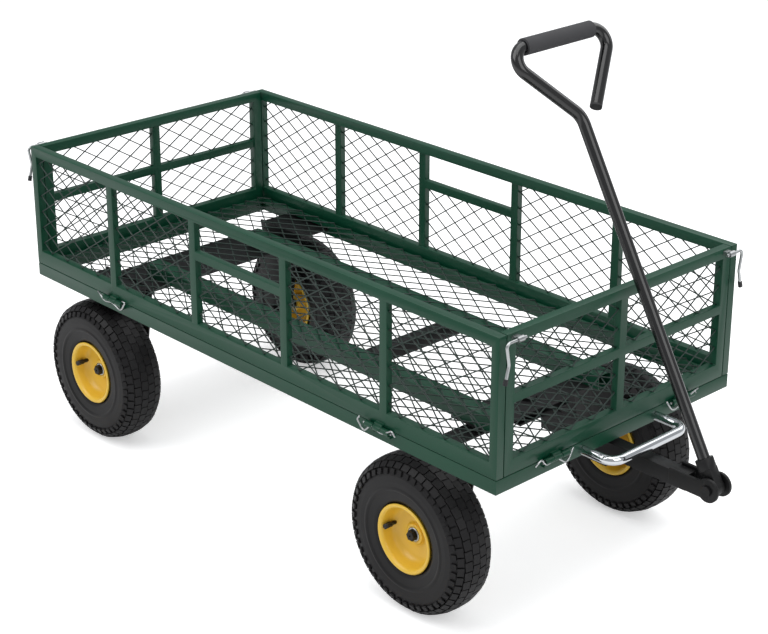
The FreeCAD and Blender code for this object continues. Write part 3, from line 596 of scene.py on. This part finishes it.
class CART_OT_rims(bpy.types.Operator):
    """Press the rims, with their hubs, washers, nuts and valves"""
    bl_idname = "cart.rims"
    bl_label = "Rims and hubs"

    # Closed sections, as radius and reach in millimetres. The rim's goes round the hub, the pressed bowl, the
    # outer lip, the well, the inner lip and back along the bowl.
    RIM = [(9, 13), (16.2, 13), (17, 12.2), (17, 6.4), (22, 6.2), (30, 6.8), (38, 8.4), (43, 11), (46.6, 15.4),
           (48.4, 21), (49.2, 30), (50.4, 34), (53, 36.6), (56, 37), (57.6, 35.6), (57.2, 33.8), (54.4, 33.4),
           (52, 31), (51.4, 26), (51.4, -26), (52, -31), (54.4, -33.4), (57.2, -33.8), (57.6, -35.6),
           (56, -37), (53, -36.6), (50.4, -34), (49.4, -30), (49, 3), (45, 5.5), (36, 4), (28, 3),
           (17, 2.6), (17, -26.4), (16.4, -27), (9, -27)]
    WASHER = [(8.2, 13), (12, 13), (12, 14.6), (8.2, 14.6)]
    NUT = [(2, 14.7), (9, 14.7), (9, 20.6), (8, 22), (2, 22)]

    # The valve: where it leaves the rim, its length and the radii of its stem and its cap.
    VALVE_BACK, VALVE_OUT, VALVE_UP, VALVE_LENGTH = 43.5 * MM, 11 * MM, 3.5 * MM, 21 * MM
    STEM, CAP = 3.2 * MM, 4.3 * MM

    def turned(self, section, centre, side, **options):
        return lathe([(r * MM, y * MM) for r, y in section], centre, side, **options)

    def valve(self, centre, side):
        foot = centre + Vector((-self.VALVE_BACK, side * self.VALVE_OUT, self.VALVE_UP))
        tip = foot + Vector((0, side * self.VALVE_LENGTH, 0))
        stem = tube([foot, foot.lerp(tip, 0.5), tip], self.STEM)
        cap = tube([foot.lerp(tip, 0.45), foot.lerp(tip, 0.7), tip + (tip - foot) * 0.1], self.CAP)
        return joined([stem, cap])

    def execute(self, context):
        for name in WHEELS:
            body = "wheel_" + name
            centre, side = wheel_frame(name)
            rim = self.turned(self.RIM, centre, side)
            new_object("pressed_rim_" + name, rim, finish("yellow"), body, ["rim_" + name])
            washer = self.turned(self.WASHER, centre, side, steps=40)
            new_object("washer_" + name, washer, finish("zinc"), body)
            nut = self.turned(self.NUT, centre, side, steps=6)
            new_object("axle_nut_" + name, nut, finish("black"), body, smooth=False)
            valve = self.valve(centre, side)
            new_object("valve_" + name, valve, finish("vinyl"), body)
        return {"FINISHED"}


# ---------------------------------------------------------------- trim
class CART_OT_hinge_clips(bpy.types.Operator):
    """Bend the zigzag spring clips that keep the hinge pins in"""
    bl_idname = "cart.hinge_clips"
    bl_label = "Hinge clips"

    WIRE = 1.5 * MM
    GAP = 0.4 * MM

    # In millimetres: the clips' distance from the bed's middle on the long and short edges, and each clip's
    # bends, along the edge and up from its hinge pin.
    LONG_SPREAD, SHORT_SPREAD = 342, 147
    LONG_FRONT = [(-37, 11), (-43, 4), (-28, -12), (-11, 5), (12, -3), (34, 11), (42, 3)]
    LONG_REAR = [(-41, 10), (-22, -4), (1, 1), (26, -9), (40, 11), (32, 12)]
    SHORT_RIGHT = [(-50, 4), (-37, 12), (-26, -2), (-4, 4), (19, -14), (33, 8)]
    SHORT_LEFT = [(-45, 11), (-28, -11), (15, 4), (33, 10)]

    def execute(self, context):
        low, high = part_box("bed_hinge_knuckles")
        middle = (low + high) / 2
        reach = (high - low) / 2
        meshes = []
        for way in (1, -1):
            face = middle.y + way * (reach.y - self.WIRE - self.GAP)
            for sign, shape in ((1, self.LONG_FRONT), (-1, self.LONG_REAR)):
                start = sign * self.LONG_SPREAD
                bends = [(middle.x + (start + u) * MM, face, middle.z + v * MM) for u, v in shape]
                meshes.append(tube(bends, self.WIRE))
            face = middle.x + way * (reach.x - self.WIRE - self.GAP)
            for sign, shape in ((-1, self.SHORT_RIGHT), (1, self.SHORT_LEFT)):
                start = sign * self.SHORT_SPREAD
                bends = [(face, middle.y + (start + u) * MM, middle.z + v * MM) for u, v in shape]
                meshes.append(tube(bends, self.WIRE))
        new_object("hinge_clips", joined(meshes), finish("zinc"), "bed")
        return {"FINISHED"}


class CART_OT_finishes(bpy.types.Operator):
    """Give every welded, bent and turned part its own finish"""
    bl_idname = "cart.finishes"
    bl_label = "Finishes"

    GLOSSY = ("handle_tube", "handle_socket")

    def execute(self, context):
        for name, part in frame["nodes"].items():
            key = "gloss" if name in self.GLOSSY else FINISH_OF_SLOT[SLOT_OF[name]]
            part.data.materials.clear()
            part.data.materials.append(finish(key))
        return {"FINISHED"}


# ---------------------------------------------------------------- stage
class CART_OT_stage(bpy.types.Operator):
    """Set the floor, the soft lights and the camera"""
    bl_idname = "cart.stage"
    bl_label = "Stage"

    # Metres, watts and degrees. Each lamp is a square softbox: its place, its width and its power.
    FLOOR_REACH = 30
    LAMPS = (((-1.2, -2.6, 3.2), 3.0, 62), ((3.0, -0.4, 2.4), 2.4, 30), ((0.2, 2.6, 2.8), 3.0, 36),
             ((0.0, 0.0, 4.2), 3.4, 62))
    LAMP_AIM = (0, 0, 0.3)
    ROOM_COLOUR, ROOM_STRENGTH = "#EDEFF2", 0.5
    CAMERA_PLACE = (2.1583, -2.0422, 1.5978)
    CAMERA_TURN, CAMERA_FALL, CAMERA_ROLL = 46.184, 21.51, 0.339
    SENSOR, LENS, SHIFT_X, SHIFT_Y = 36, 89.49, -0.0342, -0.0725

    def execute(self, context):
        settings = context.scene.cart_stage
        self.floor(settings)
        self.world()
        for place, size, power in self.LAMPS:
            self.lamp(place, size, power * settings.light)
        self.camera()
        context.scene.view_settings.view_transform = "Standard"
        return {"FINISHED"}

    def floor(self, settings):
        work = bmesh.new()
        bmesh.ops.create_grid(work, x_segments=1, y_segments=1, size=self.FLOOR_REACH)
        floor = bpy.data.objects.new("floor", mesh_from(work))
        bpy.context.scene.collection.objects.link(floor)
        material = bpy.data.materials.new("pale_floor")
        material.use_nodes = True
        tree = material.node_tree
        tree.nodes.clear()
        seen = add(tree, "ShaderNodeLightPath").outputs["Is Camera Ray"]
        matt = add(tree, "ShaderNodeBsdfDiffuse", inputs={"Color": (*settings.floor, 1)})
        glow = add(tree, "ShaderNodeEmission", inputs={
            "Color": (*settings.floor, 1), "Strength": maths(tree, "MULTIPLY", seen, settings.glow)})
        both = add(tree, "ShaderNodeAddShader", inputs={0: matt.outputs[0], 1: glow.outputs[0]})
        add(tree, "ShaderNodeOutputMaterial", inputs={"Surface": both.outputs[0]})
        floor.data.materials.append(material)

    def world(self):
        world = bpy.data.worlds.new("studio")
        world.use_nodes = True
        tree = world.node_tree
        tree.nodes.clear()
        seen = add(tree, "ShaderNodeLightPath").outputs["Is Camera Ray"]
        room = add(tree, "ShaderNodeBackground", inputs={
            "Color": linear(self.ROOM_COLOUR), "Strength": self.ROOM_STRENGTH})
        white = add(tree, "ShaderNodeBackground", inputs={"Color": (1, 1, 1, 1), "Strength": 1.0})
        either = add(tree, "ShaderNodeMixShader", inputs={0: seen, 1: room.outputs[0], 2: white.outputs[0]})
        add(tree, "ShaderNodeOutputWorld", inputs={"Surface": either.outputs[0]})
        bpy.context.scene.world = world

    def lamp(self, place, size, power):
        light = bpy.data.lights.new("softbox", "AREA")
        light.size = size
        light.energy = power
        lamp = bpy.data.objects.new("softbox", light)
        lamp.location = place
        aim = Vector(self.LAMP_AIM) - Vector(place)
        lamp.rotation_euler = aim.to_track_quat("-Z", "Y").to_euler()
        bpy.context.scene.collection.objects.link(lamp)

    def camera(self):
        turned = math.radians(self.CAMERA_TURN)
        fall, roll = math.radians(self.CAMERA_FALL), math.radians(self.CAMERA_ROLL)
        ahead = Vector((-math.sin(turned) * math.cos(fall), math.cos(turned) * math.cos(fall), -math.sin(fall)))
        level = Vector((math.cos(turned), math.sin(turned), 0))
        over = level.cross(ahead)
        right = level * math.cos(roll) + over * math.sin(roll)
        up = over * math.cos(roll) - level * math.sin(roll)
        data = bpy.data.cameras.new("camera")
        data.sensor_width = self.SENSOR
        data.lens = self.LENS
        data.shift_x, data.shift_y = self.SHIFT_X, self.SHIFT_Y
        camera = bpy.data.objects.new("camera", data)
        turn = Matrix((right, up, -ahead)).transposed().to_4x4()
        camera.matrix_world = Matrix.Translation(self.CAMERA_PLACE) @ turn
        bpy.context.scene.collection.objects.link(camera)
        bpy.context.scene.camera = camera


class CART_PT_panel(bpy.types.Panel):
    """Lists the cart's sizes and steps"""
    bl_label = "Garden cart"
    bl_idname = "CART_PT_panel"
    bl_space_type = "VIEW_3D"
    bl_region_type = "UI"
    bl_category = "Cart"

    def draw(self, context):
        scene = context.scene
        for group in (scene.cart_frames, scene.cart_mesh, scene.cart_tyres, scene.cart_stage):
            for name in group.__annotations__:
                self.layout.prop(group, name)
        for step in STEPS:
            self.layout.operator(step.bl_idname)


STEPS = (CART_OT_finishes, CART_OT_welded_frames, CART_OT_wire_mesh, CART_OT_tyres, CART_OT_rims,
         CART_OT_hinge_clips, CART_OT_stage)
GROUPS = {"cart_frames": CartFrameSizes, "cart_mesh": CartMeshSizes, "cart_tyres": CartTyreSizes,
          "cart_stage": CartStageSettings}


def register():
    for kind in (*GROUPS.values(), *STEPS, CART_PT_panel):
        bpy.utils.register_class(kind)
    for name, kind in GROUPS.items():
        setattr(bpy.types.Scene, name, PointerProperty(type=kind))


def unregister():
    for name in GROUPS:
        delattr(bpy.types.Scene, name)
    for kind in reversed((*GROUPS.values(), *STEPS, CART_PT_panel)):
        bpy.utils.unregister_class(kind)


def main():
    register()
    for step in STEPS:
        family, name = step.bl_idname.split(".")
        getattr(getattr(bpy.ops, family), name)()


if __name__ == "__main__":
    main()
